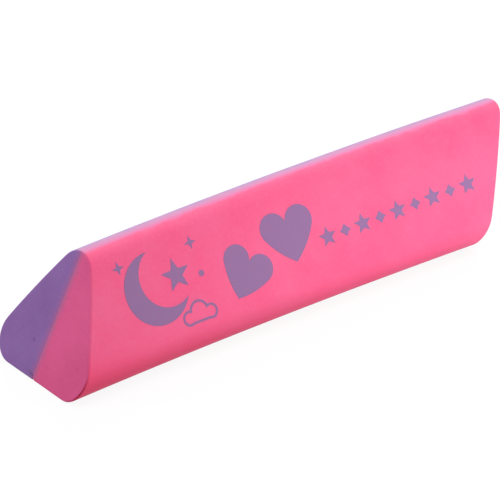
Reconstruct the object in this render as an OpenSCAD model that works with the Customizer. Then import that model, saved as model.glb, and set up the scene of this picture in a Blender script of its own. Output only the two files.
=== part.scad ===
// Triangular vinyl eraser bar, extruded in two colours and cut slanting at both ends.
// The bar lies along X with its printed pink face towards -Y and its flat base on Z = 0.
// Its origin is the middle of the space it fills, on the base.

/* [Bar] */
// Length over both slanted ends
bar_length = 72.5; // [68:0.5:90]
// Width of the section over its two lower corners
section_width = 17.6; // [16.5:0.1:20]
// Height of the section from the flat base to the ridge
section_height = 15.8; // [14.8:0.1:18]
// Radius of the three long corners
corner_radius = 3.1; // [2:0.1:3.4]
// Rise of each sloping face above a flat one
face_crown = 0.15; // [0.05:0.05:0.4]
// Sideways bow of the soft bar at the middle of its length
bow = 0.9; // [0.3:0.1:2]

/* [Cut ends] */
// Lean of the near end from upright, in degrees
near_end_lean = 26.4; // [10:0.1:34]
// Turn of the near end from square across the bar, in degrees
near_end_turn = 1.4; // [0:0.1:4]
// Lean of the far end from upright, in degrees
far_end_lean = 29.2; // [10:0.1:34]

/* [Two colours] */
// Distance of the parting line behind the middle of the base
parting_base_shift = 0.5; // [0:0.05:1.5]
// Distance of the parting line behind the middle of the ridge
parting_ridge_shift = 0.15; // [-0.5:0.05:0.5]

/* [Print] */
// Thickness of the printed ink film
ink_thickness = 0.08; // [0.05:0.01:0.12]
// Width of the thin printed lines
line_width = 0.3; // [0.2:0.05:0.5]

/* [Printed hearts] */
// Radius of the two round lobes of a heart
heart_lobe_radius = 2; // [1.5:0.1:2.2]
// Distance of each lobe's centre from the heart's own middle line
heart_lobe_offset = 1.95; // [1.4:0.05:1.95]
// Depth of the point below the lobes' centres
heart_point_depth = 4.95; // [4:0.05:5.2]
// Radius of the curved flanks that run down to the point
heart_flank_radius = 12; // [8:1:30]
// Size of the turned heart against the upright one
turned_heart_scale = 0.94; // [0.7:0.01:1]
// Turn of the turned heart, clockwise, in degrees
turned_heart_turn = 37; // [0:1:60]

/* [Printed moon] */
// Radius of the moon's outer edge
moon_radius = 4.7; // [3.5:0.1:4.9]
// Thickness of the crescent at its middle
crescent_thickness = 2.9; // [1.5:0.1:3.2]
// Distance from the moon's centre to the centre of its hollow side
crescent_offset = 2.2; // [1.8:0.1:2.4]
// Tip radius of the star beside the moon
moon_star_radius = 2.2; // [1.2:0.1:2.3]
// Radius of the middle puff of the small cloud
cloud_puff_radius = 1.4; // [1:0.1:1.6]

/* [Printed row] */
// Tip radius of the stars in the row
row_star_radius = 1.35; // [0.8:0.05:1.5]
// Tip radius of the diamonds between the stars
row_diamond_radius = 0.85; // [0.5:0.05:1]
// Distance from one figure of the row to the next
row_pitch = 2.75; // [2.5:0.05:2.9]

/* [Hidden] */
$fn = 64;

corner_steps = 12;
face_steps = 4;
revolve_steps = 1440;
cut_margin = 5;

// Places on the printed face: along the bar from its middle, and up the slope from the face's middle
upright_heart_place = [0.25, 2.35];
turned_heart_place = [-6.75, -0.65];
moon_place = [-20.6, 0.6];
moon_star_place = [-17.3, 1.3];
spark_places = [[-13.9, 4.5], [-25, 4.6]];
spark_radius = 0.9;
dot_place = [-13.7, 0.4];
dot_radius = 0.4;
cloud_place = [-15.6, -3.9];
row_place = [16.6, -1];
row_count = 9;

// Section outline in its own plane: front is negative, up is positive
front_foot = [corner_radius - section_width / 2, corner_radius];
back_foot = [section_width / 2 - corner_radius, corner_radius];
ridge = [0, section_height - corner_radius];
slope = atan2(ridge[1] - front_foot[1], ridge[0] - front_foot[0]);
half_face = norm(ridge - front_foot) / 2;
crown_reach = (half_face * half_face + face_crown * face_crown) / (2 * face_crown);
crown_angle = asin(half_face / crown_reach);
front_normal = [cos(90 + slope), sin(90 + slope)];
back_normal = [cos(90 - slope), sin(90 - slope)];
front_crown_centre = (ridge + front_foot) / 2 - crown_reach * cos(crown_angle) * front_normal;
back_crown_centre = (ridge + back_foot) / 2 - crown_reach * cos(crown_angle) * back_normal;
printed_face_middle = (ridge + front_foot) / 2 + corner_radius * front_normal;

// The bar's own line is an arc of this radius, bowed away from the printed face
bow_radius = bar_length * bar_length / (8 * bow) + bow / 2;
bow_half_angle = asin((bar_length / 2 + cut_margin) / bow_radius);

// The two cuts cross the middle of the base here
near_low = (back_foot[0] - bow / 2) * tan(near_end_turn) - bar_length / 2;
far_low = bar_length / 2 - section_height * tan(far_end_lean);

// The front foot of the near end is the bar's foremost point, and it sets the middle of the depth
near_foot_x = near_low + corner_radius * tan(near_end_lean) + section_width / 2 * tan(near_end_turn);
front_radius = bow_radius - section_width / 2;
front_reach = bow_radius - sqrt(front_radius * front_radius - near_foot_x * near_foot_x);
middle_y = (front_reach - section_width / 2) / 2;

function arc(centre, radius, from, to, steps) =
    [for (i = [0 : steps]) let (a = from + (to - from) * i / steps) centre + radius * [cos(a), sin(a)]];

// The rounded triangle, grown by the same amount on every side
function outline(grow) =
    let (
        corner = corner_radius + grow,
        face = crown_reach + corner_radius + grow
    )
    concat(
        arc(back_foot, corner, -90, 90 - slope - crown_angle, corner_steps),
        arc(back_crown_centre, face, 90 - slope - crown_angle, 90 - slope + crown_angle, face_steps),
        arc(ridge, corner, 90 - slope + crown_angle, 90 + slope - crown_angle, corner_steps),
        arc(front_crown_centre, face, 90 + slope - crown_angle, 90 + slope + crown_angle, face_steps),
        arc(front_foot, corner, 90 + slope + crown_angle, 270, corner_steps)
    );

// Half-plane in front of the parting line (side -1) or behind it (side 1)
module beside_parting(side) {
    drop = parting_base_shift - parting_ridge_shift;
    above = parting_ridge_shift - drop * cut_margin / section_height;
    below = parting_base_shift + drop * cut_margin / section_height;
    polygon([
        [below, -cut_margin],
        [above, section_height + cut_margin],
        [side * section_width, section_height + cut_margin],
        [side * section_width, -cut_margin]
    ]);
}

// A section swept along the bowed bar, past both ends
module sweep_along_bar() {
    translate([0, middle_y - bow_radius, 0])
        rotate_extrude(angle = 2 * bow_half_angle, start = 90 - bow_half_angle, $fn = revolve_steps)
            translate([bow_radius, 0])
                children();
}

// Everything past a slanted cut that crosses the base at the origin
module past_cut(lean) {
    run = tan(lean);
    top = section_height + cut_margin;
    rotate([90, 0, 0])
        linear_extrude(height = 4 * section_width, center = true)
            polygon([
                [-run * cut_margin, -cut_margin],
                [2 * bar_length, -cut_margin],
                [2 * bar_length, top],
                [run * top, top]
            ]);
}

// Everything between the two slanted end cuts
module between_end_cuts() {
    intersection() {
        translate([near_low, 0, 0])
            rotate([0, 0, near_end_turn])
                past_cut(near_end_lean);
        translate([far_low, 0, 0])
            rotate([0, 0, 180])
                past_cut(-far_end_lean);
    }
}

module colour_half(side) {
    intersection() {
        sweep_along_bar()
            intersection() {
                polygon(outline(0));
                beside_parting(side);
            }
        between_end_cuts();
    }
}

module pink_half() {
    color("#f4648f") colour_half(-1);
}

module purple_half() {
    color("#84619c") colour_half(1);
}

// One side of a heart runs from the notch round its lobe and down its flank to the point
module heart() {
    lobe = [heart_lobe_offset, 0];
    point = [0, -heart_point_depth];
    reach = heart_flank_radius - heart_lobe_radius;
    span = norm(lobe - point);
    join = atan2(heart_point_depth, heart_lobe_offset)
        - acos((span * span + reach * reach - heart_flank_radius * heart_flank_radius) / (2 * reach * span));
    flank_centre = lobe - reach * [cos(join), sin(join)];
    to_point = point - flank_centre;
    notch = acos(-heart_lobe_offset / heart_lobe_radius);
    right = concat(
        arc(lobe, heart_lobe_radius, notch, join, 16),
        arc(flank_centre, heart_flank_radius, join, atan2(to_point[1], to_point[0]), 5)
    );
    left = [for (i = [len(right) - 2 : -1 : 1]) [-right[i][0], right[i][1]]];
    polygon(concat(right, left));
}

module star(points, tip_radius, waist) {
    polygon([for (i = [0 : 2 * points - 1])
        let (a = 90 + 180 * i / points, r = i % 2 == 0 ? tip_radius : waist * tip_radius)
        r * [cos(a), sin(a)]]);
}

module crescent() {
    difference() {
        circle(moon_radius);
        translate(crescent_offset * [cos(30), sin(30)])
            circle(moon_radius + crescent_offset - crescent_thickness);
    }
}

// Two side puffs and a straight foot round the large puff, all drawn in by the same inset
module cloud_fill(inset) {
    side_puff = 0.72 * cloud_puff_radius;
    side_reach = cloud_puff_radius + 0.25 * side_puff;
    side_drop = 0.4 * cloud_puff_radius;
    foot_drop = side_drop + 0.9 * side_puff;
    circle(cloud_puff_radius - inset);
    for (side = [-1, 1])
        translate([side * side_reach, -side_drop])
            circle(side_puff - inset);
    translate([-side_reach, inset - foot_drop])
        square([2 * side_reach, foot_drop - inset]);
}

module cloud() {
    difference() {
        cloud_fill(0);
        cloud_fill(line_width);
    }
}

module printed_figures() {
    translate(upright_heart_place) heart();
    translate(turned_heart_place) rotate(-turned_heart_turn) scale(turned_heart_scale) heart();
    translate(moon_place) crescent();
    translate(moon_star_place) star(5, moon_star_radius, 0.42);
    for (place = spark_places) translate(place) star(4, spark_radius, 0.35);
    translate(dot_place) circle(dot_radius);
    translate(cloud_place) cloud();
    for (i = [0 : row_count - 1])
        translate(row_place + [(i - (row_count - 1) / 2) * row_pitch, 0])
            if (i % 2 == 0) star(5, row_star_radius, 0.45);
            else star(4, row_diamond_radius, 0.6);
}

// Ink film: the skin just outside the pink face, kept where a figure stands over it
module print() {
    color("#9b76a5")
        intersection() {
            sweep_along_bar()
                intersection() {
                    difference() {
                        polygon(outline(ink_thickness));
                        polygon(outline(0));
                    }
                    beside_parting(-1);
                }
            translate([0, printed_face_middle[0] + middle_y, printed_face_middle[1]])
                rotate([slope, 0, 0])
                    linear_extrude(height = section_height / 2, center = true)
                        printed_figures();
            between_end_cuts();
        }
}

pink_half();
purple_half();
print();
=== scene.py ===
"""Looks of a triangular vinyl eraser bar in two colours, with a print on its pink face."""

import math

import bmesh
import bpy
from mathutils import Matrix, Vector, noise


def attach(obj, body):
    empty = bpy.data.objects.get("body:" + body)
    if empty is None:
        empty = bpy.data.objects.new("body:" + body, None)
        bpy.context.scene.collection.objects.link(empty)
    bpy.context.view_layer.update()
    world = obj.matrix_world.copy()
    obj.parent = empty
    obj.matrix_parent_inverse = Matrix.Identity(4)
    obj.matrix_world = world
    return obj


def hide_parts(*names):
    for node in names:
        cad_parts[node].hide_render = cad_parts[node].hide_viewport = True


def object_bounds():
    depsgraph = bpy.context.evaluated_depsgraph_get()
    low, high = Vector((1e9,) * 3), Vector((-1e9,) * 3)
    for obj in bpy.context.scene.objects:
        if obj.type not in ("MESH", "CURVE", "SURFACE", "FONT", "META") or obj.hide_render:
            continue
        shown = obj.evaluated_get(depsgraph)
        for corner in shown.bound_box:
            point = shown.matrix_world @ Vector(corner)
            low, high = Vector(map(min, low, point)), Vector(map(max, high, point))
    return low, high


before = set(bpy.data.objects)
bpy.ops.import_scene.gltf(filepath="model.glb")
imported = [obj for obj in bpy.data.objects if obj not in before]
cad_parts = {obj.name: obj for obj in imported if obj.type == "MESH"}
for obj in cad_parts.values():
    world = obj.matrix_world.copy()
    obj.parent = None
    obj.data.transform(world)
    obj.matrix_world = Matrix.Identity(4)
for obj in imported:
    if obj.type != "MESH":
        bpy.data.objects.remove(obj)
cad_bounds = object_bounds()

MM = 0.001

# Sizes of the bar, in millimetres and radians, beside those that the frame gives
CORNER_RADIUS = 3.1
FACE_CROWN = 0.15
BOW = 0.9
NEAR_END_LEAN = math.radians(26.4)
NEAR_END_TURN = math.radians(1.4)
FAR_END_LEAN = math.radians(29.2)
PARTING_BASE_SHIFT = 0.5
PARTING_RIDGE_SHIFT = 0.15

low_corner = [value / MM for value in cad_bounds[0]]
high_corner = [value / MM for value in cad_bounds[1]]
BAR_LENGTH = round(high_corner[0] - low_corner[0], 2)
SECTION_HEIGHT = round(high_corner[2], 2)
SECTION_WIDTH = 17.6

# The lines of the section, worked out as the solid's own are
foot_reach = SECTION_WIDTH / 2 - CORNER_RADIUS
ridge_height = SECTION_HEIGHT - CORNER_RADIUS
slope = math.atan2(ridge_height - CORNER_RADIUS, foot_reach)
half_face = math.hypot(ridge_height - CORNER_RADIUS, foot_reach) / 2
crown_reach = (half_face ** 2 + FACE_CROWN ** 2) / (2 * FACE_CROWN)
crown_angle = math.asin(half_face / crown_reach)

# The bow and the cuts, worked out in the same way
bow_radius = BAR_LENGTH ** 2 / (8 * BOW) + BOW / 2
near_low = (foot_reach - BOW / 2) * math.tan(NEAR_END_TURN) - BAR_LENGTH / 2
far_low = BAR_LENGTH / 2 - SECTION_HEIGHT * math.tan(FAR_END_LEAN)
near_foot_x = (
    near_low
    + CORNER_RADIUS * math.tan(NEAR_END_LEAN)
    + SECTION_WIDTH / 2 * math.tan(NEAR_END_TURN)
)
front_radius = bow_radius - SECTION_WIDTH / 2
front_reach = bow_radius - math.sqrt(front_radius ** 2 - near_foot_x ** 2)
middle_y = (front_reach - SECTION_WIDTH / 2) / 2

# Pieces and steps of the outline, in the order in which it is drawn
BASE_PIECES = 14
FOOT_STEPS = 18
FACE_STEPS = 36
RIDGE_STEPS = 10
SEAM_PIECES = 32

# How finely the meshes are divided, and what counts as touching, in millimetres
RING_SPACING = 0.5
CELL_SIZE = 0.8
BORDER_WIDTH = 0.1
SEAM_TOLERANCE = 0.001
WELD_DISTANCE = 0.0005
# Rounds in which a point's place along the bowed bar settles
BEND_ROUNDS = 3
# A cut is a face that looks along the bar, by this share of its normal, and has more corners than this
CUT_FACING = 0.999
CUT_CORNERS = 40
# An edge of the ink film that turns more than this many radians stays sharp
FILM_EDGE_ANGLE = 0.6

# Rims of the cuts: fully rounded along the printed face, and elsewhere drawn in to a share of that,
# with a fade between the two
RIM_RADIUS = 0.42
RIM_SEGMENTS = 10
KEEN_SHARE = 0.4
KEEN_FADE = 1.5
# Angle halfway round a rim, and how far that lies behind the cut as a share of the radius
HALFWAY_ROUND = math.pi / 4
CUT_RIM_SHARE = 1 - math.cos(HALFWAY_ROUND)

# Unevenness of the soft bar, and waves in its cuts across and up the section
DRIFT_DEPTH = 0.05
DRIFT_WAVE = 9.0
CUT_WAVE_DEPTH = 0.03
CUT_WAVE_ACROSS = 3.2
CUT_WAVE_UP = 2.2
# The two cuts take their waves from places in the noise that lie this far from its middle
CUT_WAVE_PLACE = 5.0

# Fold in the rim round the near end's front foot: below one height, and in front of one line
CREASE_DEPTH = 0.28
CREASE_TOP = 4.2
CREASE_TOP_FADE = 1.6
CREASE_BACK = -5.0
CREASE_BACK_FADE = 0.8
# Half of the fold's width, in radians round the rim
CREASE_SPREAD = 0.18

# Ink film: how far it stands proud here, and how thick the solid's own film is
FILM_HEIGHT = 0.03
SOLID_FILM_HEIGHT = 0.08


def clamped(value):
    """A value held between 0 and 1."""
    return max(0.0, min(1.0, value))


def ripple(place):
    """Smooth noise between 0 and 1."""
    return 0.5 + 0.5 * noise.noise(place)


def seam_y(height):
    """Where the two colours meet at a height of the section, in millimetres."""
    share = height / SECTION_HEIGHT
    return PARTING_BASE_SHIFT + (PARTING_RIDGE_SHIFT - PARTING_BASE_SHIFT) * share


def on_seam(item):
    """Whether an edge or face of the straight bar lies in the plane where the two colours meet."""
    return all(abs(vert.co.y - seam_y(vert.co.z)) < SEAM_TOLERANCE for vert in item.verts)


def crown_centre(side):
    """Centre of the large arc that a sloping face follows, in the section."""
    inward = crown_reach * math.cos(crown_angle)
    return (
        side * (foot_reach / 2 - inward * math.sin(slope)),
        (CORNER_RADIUS + ridge_height) / 2 - inward * math.cos(slope),
    )


def turn_on(bm, last, centre, angle, steps):
    """Carries the outline's last point round a centre in the section and returns the new last point."""
    made = bmesh.ops.spin(
        bm, geom=[last], cent=(0, centre[0], centre[1]), axis=(1, 0, 0), angle=angle, steps=steps
    )
    return [item for item in made["geom_last"] if isinstance(item, bmesh.types.BMVert)][0]


def run_on(bm, last, target, pieces):
    """Carries the outline straight to a point or vertex in equal steps and returns the new last point."""
    goal = target.co if isinstance(target, bmesh.types.BMVert) else Vector((0, target[0], target[1]))
    step = (goal - last.co) / pieces
    for index in range(pieces):
        if index == pieces - 1 and isinstance(target, bmesh.types.BMVert):
            bm.edges.new((last, target))
            return target
        following = bm.verts.new(last.co + step)
        bm.edges.new((last, following))
        last = following
    return last


def half_outline(bm, side):
    """Closed outline of one colour: base, foot, face, ridge, and down the seam."""
    start = bm.verts.new((0, PARTING_BASE_SHIFT, 0))
    foot = (side * foot_reach, CORNER_RADIUS)
    ridge = (0, ridge_height)
    face_normal = math.pi / 2 - slope
    foot_turn = math.pi / 2 + face_normal - crown_angle
    ridge_turn = math.pi / 2 - face_normal - crown_angle
    past_top = math.asin(PARTING_RIDGE_SHIFT / CORNER_RADIUS)
    last = run_on(bm, start, (foot[0], 0), BASE_PIECES)
    last = turn_on(bm, last, foot, side * foot_turn, FOOT_STEPS)
    last = turn_on(bm, last, crown_centre(side), side * 2 * crown_angle, FACE_STEPS)
    last = turn_on(bm, last, ridge, side * ridge_turn - past_top, RIDGE_STEPS)
    last.co.y = seam_y(last.co.z)
    run_on(bm, last, start, SEAM_PIECES)


def to_bar(point):
    """Carries a point of the straight, square bar to the bar with leaning ends and a bow."""
    share = (point.x + BAR_LENGTH / 2) / BAR_LENGTH
    near_lean = point.z * math.tan(NEAR_END_LEAN) / math.cos(NEAR_END_TURN)
    far = far_low + point.z * math.tan(FAR_END_LEAN)
    y = point.y
    for _ in range(BEND_ROUNDS):
        near = near_low + near_lean - y * math.tan(NEAR_END_TURN)
        x = near + (far - near) * share
        y = middle_y - bow_radius + math.sqrt((bow_radius + point.y) ** 2 - x ** 2)
    return Vector((x, y, point.z))


def drift(point):
    """Slow unevenness of soft extruded vinyl, always inwards and the same for both colours."""
    inward = Vector((0, middle_y - point.y, SECTION_HEIGHT / 3 - point.z)).normalized()
    # The flat base isn't lifted at all, and the round of the foot less than the faces
    inward.z *= min(1.0, point.z / CORNER_RADIUS)
    return inward * DRIFT_DEPTH * ripple(point / DRIFT_WAVE)


def rim_share(point):
    """How far a point lies behind its end's flat cut, as a share of the rim's rounding."""
    return (BAR_LENGTH / 2 - abs(point.x)) / RIM_RADIUS


def on_outline(side, point):
    """The nearest place on the section's outline to a point just under it."""
    across = side * point.y
    crown = crown_centre(1)
    turn = math.atan2(point.z - crown[1], across - crown[0]) - (math.pi / 2 - slope)
    if abs(turn) <= crown_angle:
        centre, reach = crown, crown_reach + CORNER_RADIUS
    elif turn > 0:
        centre, reach = (0, ridge_height), CORNER_RADIUS
    elif across > foot_reach:
        centre, reach = (foot_reach, CORNER_RADIUS), CORNER_RADIUS
    else:
        return Vector((point.x, point.y, 0))
    arm = Vector((across - centre[0], point.z - centre[1])).normalized() * reach
    return Vector((point.x, side * (centre[0] + arm.x), centre[1] + arm.y))


def keener(side, point):
    """Draws a point of the rounded rim towards its sharp edge, but not along the printed face."""
    edge = on_outline(side, point)
    edge.x = math.copysign(BAR_LENGTH / 2, point.x)
    face_share = 0.0
    if side < 0:
        face_share = clamped(edge.z / KEEN_FADE) * clamped((SECTION_HEIGHT - edge.z) / KEEN_FADE)
    return edge + (point - edge) * (KEEN_SHARE + (1 - KEEN_SHARE) * face_share)


def cut_wave(point):
    """Shallow waves that the blade left in both cut ends, fading out over the rounded rim."""
    end_place = math.copysign(CUT_WAVE_PLACE, point.x)
    height = ripple(Vector((point.y / CUT_WAVE_ACROSS, point.z / CUT_WAVE_UP, end_place)))
    inward = -math.copysign(height, point.x)
    return Vector((inward * CUT_WAVE_DEPTH * max(0.0, 1 - rim_share(point)), 0, 0))


def crease(point):
    """Fold that the blade left in the rim round the front foot of the near end."""
    if point.x > 0 or rim_share(point) > 1:
        return Vector()
    around = math.acos(min(1.0, 1 - rim_share(point)))
    below = clamped((CREASE_TOP - point.z) / CREASE_TOP_FADE)
    before = clamped((CREASE_BACK - point.y) / CREASE_BACK_FADE)
    across = math.exp(-((around - HALFWAY_ROUND) / CREASE_SPREAD) ** 2)
    depth = CREASE_DEPTH * below * before * across
    to_foot = Vector((0, -foot_reach - point.y, CORNER_RADIUS - point.z)).normalized()
    return (to_foot + Vector((1, 0, 0))).normalized() * depth


def divide(bm, faces, axes):
    """Cuts faces into cells along some axes, so that they can be uneven, and returns the cells."""
    places = [vert.co for face in faces for vert in face.verts]
    for axis in axes:
        low = min(place[axis] for place in places)
        high = max(place[axis] for place in places)
        normal = [0.0, 0.0, 0.0]
        normal[axis] = 1.0
        cell = (high - low) / math.ceil((high - low) / CELL_SIZE)
        for index in range(1, round((high - low) / cell)):
            place = [0.0, 0.0, 0.0]
            place[axis] = low + index * cell
            parts = {item for face in faces for item in (face, *face.edges, *face.verts)}
            cut = bmesh.ops.bisect_plane(bm, geom=list(parts), plane_co=place, plane_no=normal)
            faces = [item for item in cut["geom"] if isinstance(item, bmesh.types.BMFace)]
    return faces


def link_mesh(name, bm):
    """Makes a finished bmesh an object of the scene, at the origin, and returns it."""
    mesh = bpy.data.meshes.new(name)
    bm.to_mesh(mesh)
    bm.free()
    piece = bpy.data.objects.new(name, mesh)
    bpy.context.scene.collection.objects.link(piece)
    return piece


def make_half(name, side):
    """One colour of the bar: outline, straight sweep, rounded rims, then lean, bow and unevenness."""
    bm = bmesh.new()
    from_seam = bm.verts.layers.float.new("from_seam")
    half_outline(bm, side)
    bmesh.ops.translate(bm, verts=bm.verts, vec=(-BAR_LENGTH / 2, 0, 0))
    near_ring = bm.edges[:]
    swept = bmesh.ops.spin(
        bm,
        geom=near_ring,
        cent=(0, 0, 0),
        axis=(1, 0, 0),
        dvec=(RING_SPACING, 0, 0),
        angle=0,
        steps=round(BAR_LENGTH / RING_SPACING),
    )
    far_ring = [item for item in swept["geom_last"] if isinstance(item, bmesh.types.BMEdge)]
    cuts = []
    for ring in (near_ring, far_ring):
        cuts += bmesh.ops.edgeloop_fill(bm, edges=ring)["faces"]
    bmesh.ops.recalc_face_normals(bm, faces=bm.faces)

    # The rims are rounded all along the skin, but not where the two colours meet
    rounded = bmesh.ops.bevel(
        bm,
        geom=[edge for cut in cuts for edge in cut.edges if not on_seam(edge)],
        offset=RIM_RADIUS,
        offset_type="OFFSET",
        segments=RIM_SEGMENTS,
        profile=0.5,
        affect="EDGES",
        clamp_overlap=False,
        material=-1,
    )["faces"]
    bm.normal_update()
    cuts = [face for face in bm.faces if abs(face.normal.x) > CUT_FACING and len(face.verts) > CUT_CORNERS]

    # The hidden wall between the colours meets the skin and the cuts at sharp edges
    for edge in bm.edges:
        edge.smooth = len({on_seam(face) for face in edge.link_faces}) == 1
    border = bmesh.ops.inset_region(bm, faces=cuts, thickness=BORDER_WIDTH, use_even_offset=True)["faces"]
    cells = divide(bm, cuts, axes=(1, 2))

    # The cut's own finish reaches halfway round its rim
    cut_rims = [face for face in rounded if rim_share(face.calc_center_median()) < CUT_RIM_SHARE]
    for face in cells + border + cut_rims:
        face.material_index = 1
    for face in bm.faces:
        face.smooth = True
    for vert in {vert for face in rounded for vert in face.verts}:
        vert.co += crease(vert.co)
        vert.co = keener(side, vert.co)
    for vert in bm.verts:
        vert[from_seam] = abs(vert.co.y - seam_y(vert.co.z)) * MM
        vert.co += cut_wave(vert.co)
        vert.co = to_bar(vert.co)
        vert.co += drift(vert.co)
    bmesh.ops.scale(bm, verts=bm.verts, vec=(MM, MM, MM))
    return link_mesh(name, bm)


def make_print(name, node):
    """The printed figures as a thinner film that follows the face under it, crown and unevenness too."""
    bm = bmesh.new()
    bm.from_mesh(node.data)
    bmesh.ops.scale(bm, verts=bm.verts, vec=(1 / MM, 1 / MM, 1 / MM))
    bmesh.ops.remove_doubles(bm, verts=bm.verts, dist=WELD_DISTANCE)
    divide(bm, bm.faces[:], axes=(0, 2))
    bmesh.ops.recalc_face_normals(bm, faces=bm.faces)
    centre = crown_centre(-1)
    for vert in bm.verts:
        across = math.hypot(vert.co.x, vert.co.y - middle_y + bow_radius) - bow_radius - centre[0]
        outward = Vector((0, across, vert.co.z - centre[1]))
        height = outward.length - crown_reach - CORNER_RADIUS
        # The film's back goes as far under the face as its front stands proud of it
        target = FILM_HEIGHT if height > SOLID_FILM_HEIGHT / 2 else -FILM_HEIGHT
        vert.co += outward.normalized() * (target - height)
        vert.co += drift(vert.co)
    bm.normal_update()
    for edge in bm.edges:
        edge.smooth = edge.calc_face_angle(0.0) < FILM_EDGE_ANGLE
    for face in bm.faces:
        face.smooth = True
    bmesh.ops.scale(bm, verts=bm.verts, vec=(MM, MM, MM))
    return link_mesh(name, bm)


# Real sizes of the patterns, in millimetres: clouds in the mixed mass, marks dragged over it and how
# much narrower than long they are, the distance from pit to pit, and patches of thinner ink
CLOUD_SIZE = 8.0
DRAG_LENGTH = 2.4
DRAG_NARROWING = 6.0
DRAG_DEPTH = 0.1
PIT_SPACING = 3.6
THIN_INK_SIZE = 1.1
# How far light spreads inside the vinyl
SCATTER_DEPTH = 0.4
# Chalk dust and pores are some hundredths of a millimetre. That is too fine to show in the render,
# so they are drawn as coarse as this
DUST_SIZE = 0.45
PORE_SIZE = 0.25
PORE_DEPTH = 0.02
# Heights between which the painted shade on the foot fades out, and their fall for each millimetre along
# the bar
FOOT_SHADE_TOP = 4.8
FOOT_SHADE_BOTTOM = -0.6
FOOT_SHADE_FALL = 0.06
# Light that the dust sends back at a glance
DUST_TINT = "#f0eeff"
WHITE = (1.0, 1.0, 1.0, 1.0)


def srgb(code):
    """Linear colour of an sRGB hex value."""
    def channel(value):
        return value / 12.92 if value <= 0.04045 else ((value + 0.055) / 1.055) ** 2.4
    return tuple(channel(int(code[i:i + 2], 16) / 255) for i in (1, 3, 5)) + (1.0,)


def per_metre(millimetres):
    """Texture scale at which one pattern cell has this real size."""
    return 1 / (millimetres * MM)


def add(tree, kind, settings=None, links=None):
    """Adds a node with its settings and links. A socket is named, or numbered where names repeat."""
    made = tree.nodes.new(kind)
    for name, value in (settings or {}).items():
        if isinstance(name, int) or name in made.inputs:
            made.inputs[name].default_value = value
        else:
            setattr(made, name, value)
    for name, socket in (links or {}).items():
        tree.links.new(socket, made.inputs[name])
    return made


def new_material(name):
    """Material with an empty node tree."""
    material = bpy.data.materials.new(name)
    material.use_nodes = True
    material.node_tree.nodes.clear()
    return material


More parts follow.
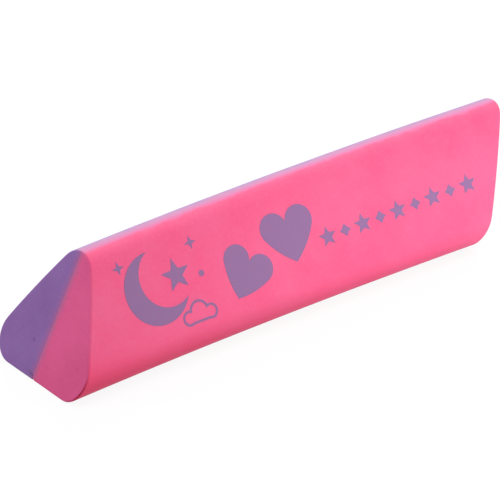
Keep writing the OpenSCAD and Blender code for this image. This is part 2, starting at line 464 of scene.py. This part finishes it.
def vinyl(name, main, deep, bloom, dust, smear_and_highlight, smear_and_highlight_reach, smear_and_highlight_most, foot_shade=None, pit_shade=None):
    """Chalk-filled soft vinyl: matt, with a cool powdery bloom that pales it at a glance from the side.

    The other colour is smeared over it along the seam; on a skin the smear is also paler, as a painted
    highlight along the ridge. A skin has painted shade that deepens its foot, and a cut has pits painted
    dark as the shade in them and the marks that the blade dragged over it.
    """
    material = new_material(name)
    tree = material.node_tree
    place = add(tree, "ShaderNodeTexCoord").outputs["Object"]

    # Slow clouds of a deeper shade in the mixed mass
    clouds = add(tree, "ShaderNodeTexNoise",
                 {"Scale": per_metre(CLOUD_SIZE), "Detail": 3.0, "Roughness": 0.55}, {"Vector": place})
    cloud_share = add(tree, "ShaderNodeMapRange",
                      {"From Min": 0.38, "From Max": 0.66, "To Min": 0.0, "To Max": 0.9},
                      {"Value": clouds.outputs["Fac"]})
    clouded = add(tree, "ShaderNodeMix",
                  {"data_type": "RGBA", 6: srgb(main), 7: srgb(deep)},
                  {0: cloud_share.outputs["Result"]})

    # Grains of chalk dust on it, drawn coarser than they are
    powder = add(tree, "ShaderNodeTexNoise",
                 {"Scale": per_metre(DUST_SIZE), "Detail": 4.0, "Roughness": 0.7}, {"Vector": place})
    powder_share = add(tree, "ShaderNodeMapRange",
                       {"From Min": 0.45, "From Max": 0.75, "To Min": 0.0, "To Max": 0.2},
                       {"Value": powder.outputs["Fac"]})
    dusted = add(tree, "ShaderNodeMix",
                 {"data_type": "RGBA", 7: srgb(bloom)},
                 {0: powder_share.outputs["Result"], 6: clouded.outputs[2]})

    # Pores that break up the highlight, drawn coarser than they are
    pores = add(tree, "ShaderNodeTexNoise",
                {"Scale": per_metre(PORE_SIZE), "Detail": 5.0, "Roughness": 0.65}, {"Vector": place})
    surface = add(tree, "ShaderNodeBump",
                  {"Strength": 0.35, "Distance": PORE_DEPTH * MM}, {"Height": pores.outputs["Fac"]})

    # The other colour, dragged out unevenly to both sides of the seam. On a skin the smear colour is paler
    # too, a painted highlight along the ridge
    stretched = add(tree, "ShaderNodeMapping", {"Scale": (1.0, 1.0, DRAG_NARROWING)}, {"Vector": place})
    drag = add(tree, "ShaderNodeTexNoise",
               {"Scale": per_metre(DRAG_LENGTH), "Detail": 4.0, "Roughness": 0.6},
               {"Vector": stretched.outputs["Vector"]})
    streak = add(tree, "ShaderNodeMapRange",
                 {"From Min": 0.35, "From Max": 0.65, "To Min": 0.8, "To Max": 1.5},
                 {"Value": drag.outputs["Fac"]})
    from_seam = add(tree, "ShaderNodeAttribute", {"attribute_name": "from_seam"})
    dragged = add(tree, "ShaderNodeMath", {"operation": "MULTIPLY"},
                  {0: from_seam.outputs["Fac"], 1: streak.outputs["Result"]})
    smear_and_highlight_share = add(tree, "ShaderNodeMapRange",
                      {"interpolation_type": "SMOOTHSTEP",
                       "From Min": smear_and_highlight_reach * MM, "From Max": 0.0, "To Min": 0.0, "To Max": smear_and_highlight_most},
                      {"Value": dragged.outputs[0]})
    smeared_and_highlighted = add(tree, "ShaderNodeMix",
                  {"data_type": "RGBA", 7: srgb(smear_and_highlight)},
                  {0: smear_and_highlight_share.outputs["Result"], 6: dusted.outputs[2]})
    finished = smeared_and_highlighted.outputs[2]

    # Painted shade: the foot is drawn deeper and darker towards the bottom, reaching higher towards the
    # near end
    if foot_shade:
        along = add(tree, "ShaderNodeSeparateXYZ", links={"Vector": place})
        above_foot_shade = add(tree, "ShaderNodeMath", {"operation": "MULTIPLY_ADD", 1: FOOT_SHADE_FALL},
                        {0: along.outputs["X"], 2: along.outputs["Z"]})
        foot_shade_share = add(tree, "ShaderNodeMapRange",
                        {"interpolation_type": "SMOOTHSTEP",
                         "From Min": FOOT_SHADE_TOP * MM, "From Max": FOOT_SHADE_BOTTOM * MM,
                         "To Min": 0.0, "To Max": 1.0},
                        {"Value": above_foot_shade.outputs[0]})
        shaded_foot = add(tree, "ShaderNodeMix",
                          {"data_type": "RGBA", 7: srgb(foot_shade)},
                          {0: foot_shade_share.outputs["Result"], 6: finished})
        finished = shaded_foot.outputs[2]

    # Small pits where the blade tore out a grain, painted darker as the shade inside them, and the relief
    # of its drag marks
    if pit_shade:
        pit_cells = add(tree, "ShaderNodeTexVoronoi",
                        {"Scale": per_metre(PIT_SPACING), "Randomness": 1.0}, {"Vector": place})
        pit_shade_mask = add(tree, "ShaderNodeMapRange",
                  {"interpolation_type": "SMOOTHSTEP",
                   "From Min": 0.12, "From Max": 0.05, "To Min": 0.0, "To Max": 0.4},
                  {"Value": pit_cells.outputs["Distance"]})
        pit_shaded = add(tree, "ShaderNodeMix",
                     {"data_type": "RGBA", 7: srgb(pit_shade)}, {0: pit_shade_mask.outputs["Result"], 6: finished})
        finished = pit_shaded.outputs[2]
        surface = add(tree, "ShaderNodeBump",
                      {"Strength": 0.5, "Distance": DRAG_DEPTH * MM},
                      {"Height": drag.outputs["Fac"], "Normal": surface.outputs["Normal"]})

    shader = add(tree, "ShaderNodeBsdfPrincipled",
                 {"Roughness": 0.75, "IOR": 1.53, "Specular IOR Level": 0.15,
                  "Subsurface Weight": 0.1, "Subsurface Radius": (1.0, 0.35, 0.45),
                  "Subsurface Scale": SCATTER_DEPTH * MM,
                  "Sheen Weight": dust, "Sheen Roughness": 0.5, "Sheen Tint": srgb(DUST_TINT)},
                 {"Base Color": finished, "Normal": surface.outputs["Normal"]})
    add(tree, "ShaderNodeOutputMaterial", links={"Surface": shader.outputs["BSDF"]})
    return material


def printed_ink(name, main, worn):
    """Pad-printed vinyl ink: a thin even film that takes on the powdery bloom of the vinyl under it."""
    material = new_material(name)
    tree = material.node_tree
    place = add(tree, "ShaderNodeTexCoord").outputs["Object"]
    film = add(tree, "ShaderNodeTexNoise",
               {"Scale": per_metre(THIN_INK_SIZE), "Detail": 5.0, "Roughness": 0.7}, {"Vector": place})
    thin = add(tree, "ShaderNodeMapRange",
               {"From Min": 0.5, "From Max": 0.75, "To Min": 0.0, "To Max": 0.45},
               {"Value": film.outputs["Fac"]})
    colour = add(tree, "ShaderNodeMix",
                 {"data_type": "RGBA", 6: srgb(main), 7: srgb(worn)}, {0: thin.outputs["Result"]})
    # The pores of the vinyl show through the film, as coarse as they are drawn there
    grain = add(tree, "ShaderNodeTexNoise",
                {"Scale": per_metre(PORE_SIZE), "Detail": 4.0, "Roughness": 0.6}, {"Vector": place})
    relief = add(tree, "ShaderNodeBump",
                 {"Strength": 0.25, "Distance": PORE_DEPTH * MM}, {"Height": grain.outputs["Fac"]})
    shader = add(tree, "ShaderNodeBsdfPrincipled",
                 {"Roughness": 0.7, "IOR": 1.5, "Specular IOR Level": 0.15,
                  "Sheen Weight": 0.2, "Sheen Roughness": 0.5, "Sheen Tint": srgb(DUST_TINT)},
                 {"Base Color": colour.outputs[2], "Normal": relief.outputs["Normal"]})
    add(tree, "ShaderNodeOutputMaterial", links={"Surface": shader.outputs["BSDF"]})
    return material


# Extruded skin, smooth from the die: a warm matt pink, with painted shade that deepens the foot, and a pale
# mauve smear along the ridge that is partly the purple and partly painted highlight
pink_skin = vinyl("pink_extruded_vinyl", "#ec618c", "#ed5583", "#f27da0", dust=0.2,
                  smear_and_highlight="#d27eae", smear_and_highlight_reach=1.0, smear_and_highlight_most=1.0, foot_shade="#ec456f")
# Cut vinyl, torn a little by the blade: a cooler pink with dull marks, pits painted dark as their shade,
# and a blurred seam
pink_cut = vinyl("pink_cut_vinyl", "#ed5e98", "#e2568e", "#ef76a6", dust=0.2,
                 smear_and_highlight="#b96d9e", smear_and_highlight_reach=1.1, smear_and_highlight_most=0.65, pit_shade="#b83f72")
# Extruded skin with the most dust on it: it pales to lilac at a glance. Along the ridge it is pink, partly
# from the pink smeared over it and partly as painted highlight, and painted shade darkens its foot
purple_skin = vinyl("purple_extruded_vinyl", "#9a72b0", "#936ba9", "#a786bb", dust=0.6,
                    smear_and_highlight="#c878a2", smear_and_highlight_reach=1.8, smear_and_highlight_most=1.0, foot_shade="#8f67a6")
# Cut vinyl with less dust: the deepest purple, with dull marks, pits painted dark as their shade, and a
# blurred seam
purple_cut = vinyl("purple_cut_vinyl", "#966cb2", "#8c62a8", "#9f7bba", dust=0.2,
                   smear_and_highlight="#b5659f", smear_and_highlight_reach=1.1, smear_and_highlight_most=0.65, pit_shade="#6a4a86")
# Pad-printed ink: flat and matt, a little redder where the pad left less and the pink shows through
mauve_ink = printed_ink("mauve_pad_print", "#8e6996", "#9c6990")

pink_bar = make_half("pink_vinyl_half", -1)
pink_bar.data.materials.append(pink_skin)
pink_bar.data.materials.append(pink_cut)
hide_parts("pink_half")
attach(pink_bar, "root")

purple_bar = make_half("purple_vinyl_half", 1)
purple_bar.data.materials.append(purple_skin)
purple_bar.data.materials.append(purple_cut)
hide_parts("purple_half")
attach(purple_bar, "root")

figures = make_print("printed_figures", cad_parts["print"])
figures.data.materials.append(mauve_ink)
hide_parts("print")
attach(figures, "root")


# Camera at the photograph's viewing angle, with a long lens, in radians and metres
VIEW_AZIMUTH = 0.63703
VIEW_DOWN = 0.53833
VIEW_DISTANCE = 0.89823
VIEW_TARGET = Vector((-0.002369, 0.0, 0.006802))
CLIP_START = 0.05
CLIP_END = 10.0
# Width of the sensor in millimetres, and the frame's width and the focal length in pixels
SENSOR_WIDTH = 36.0
FRAME_PIXELS = 500
FOCAL_PIXELS = 7118.0

looking = Vector((
    math.sin(VIEW_AZIMUTH) * math.cos(VIEW_DOWN),
    math.cos(VIEW_AZIMUTH) * math.cos(VIEW_DOWN),
    -math.sin(VIEW_DOWN),
))
camera_data = bpy.data.cameras.new("long_lens")
camera_data.sensor_fit = "HORIZONTAL"
camera_data.sensor_width = SENSOR_WIDTH
camera_data.lens = FOCAL_PIXELS * SENSOR_WIDTH / FRAME_PIXELS
camera_data.clip_start = CLIP_START
camera_data.clip_end = CLIP_END
camera = bpy.data.objects.new("camera", camera_data)
camera.matrix_world = (
    Matrix.Translation(VIEW_TARGET - looking * VIEW_DISTANCE)
    @ looking.to_track_quat("-Z", "Y").to_matrix().to_4x4()
)
bpy.context.scene.collection.objects.link(camera)
bpy.context.scene.camera = camera


# Floor: its reach from the middle in metres, a grey that takes a shadow, and a glow that lifts it
# to white, mixed in by this share for what looks at it
FLOOR_REACH = 1.5
FLOOR_GREY = (0.4, 0.4, 0.4, 1.0)
FLOOR_GLOW = 1.2
FLOOR_GLOW_SHARE = 0.75


def seen_directly(tree):
    """1 for rays from the camera, in a mirror image or through glass, and 0 for those that light things."""
    path = add(tree, "ShaderNodeLightPath")
    first = add(tree, "ShaderNodeMath", {"operation": "MAXIMUM"},
                {0: path.outputs["Is Camera Ray"], 1: path.outputs["Is Glossy Ray"]})
    both = add(tree, "ShaderNodeMath", {"operation": "MAXIMUM"},
               {0: first.outputs[0], 1: path.outputs["Is Transmission Ray"]})
    return both.outputs[0]


def pale_floor():
    """Matt white paper that reads as white and still takes a soft shadow."""
    material = new_material("white_paper_floor")
    tree = material.node_tree
    share = add(tree, "ShaderNodeMath", {"operation": "MULTIPLY", 1: FLOOR_GLOW_SHARE},
                {0: seen_directly(tree)})
    paper = add(tree, "ShaderNodeBsdfDiffuse", {"Color": FLOOR_GREY})
    glow = add(tree, "ShaderNodeEmission", {"Color": WHITE, "Strength": FLOOR_GLOW})
    mixed = add(tree, "ShaderNodeMixShader",
                links={0: share.outputs[0], 1: paper.outputs[0], 2: glow.outputs[0]})
    add(tree, "ShaderNodeOutputMaterial", links={"Surface": mixed.outputs[0]})
    bm = bmesh.new()
    bmesh.ops.create_grid(bm, x_segments=1, y_segments=1, size=FLOOR_REACH)
    floor = link_mesh("floor", bm)
    floor.data.materials.append(material)


def white_world(fill):
    """Studio that looks white and lights things evenly with this strength."""
    world = bpy.data.worlds.new("studio")
    world.use_nodes = True
    tree = world.node_tree
    tree.nodes.clear()
    strength = add(tree, "ShaderNodeMapRange", {"To Min": fill, "To Max": 1.0},
                   {"Value": seen_directly(tree)})
    glow = add(tree, "ShaderNodeBackground", {"Color": WHITE}, {"Strength": strength.outputs[0]})
    add(tree, "ShaderNodeOutputWorld", links={"Surface": glow.outputs[0]})
    bpy.context.scene.world = world


def soft_lamp(name, place, size, watts):
    """Square soft box that faces the bar."""
    data = bpy.data.lights.new(name, "AREA")
    data.shape = "SQUARE"
    data.size = size
    data.energy = watts
    lamp = bpy.data.objects.new(name, data)
    lamp.location = place
    lamp.rotation_euler = (-Vector(place)).to_track_quat("-Z", "Y").to_euler()
    lamp.visible_camera = False
    bpy.context.scene.collection.objects.link(lamp)


pale_floor()
white_world(fill=0.14)
soft_lamp("low_front", place=(0.045, -0.09, 0.02), size=0.05, watts=0.078)
soft_lamp("front_left", place=(-0.22, -0.28, 0.16), size=0.25, watts=0.1)
soft_lamp("top", place=(0.05, -0.05, 0.45), size=0.35, watts=1.27)
soft_lamp("near_end", place=(-0.33, 0.16, 0.16), size=0.22, watts=0.52)
soft_lamp("rim", place=(0.24, 0.30, 0.24), size=0.25, watts=1.7)

bpy.context.scene.view_settings.view_transform = "Standard"
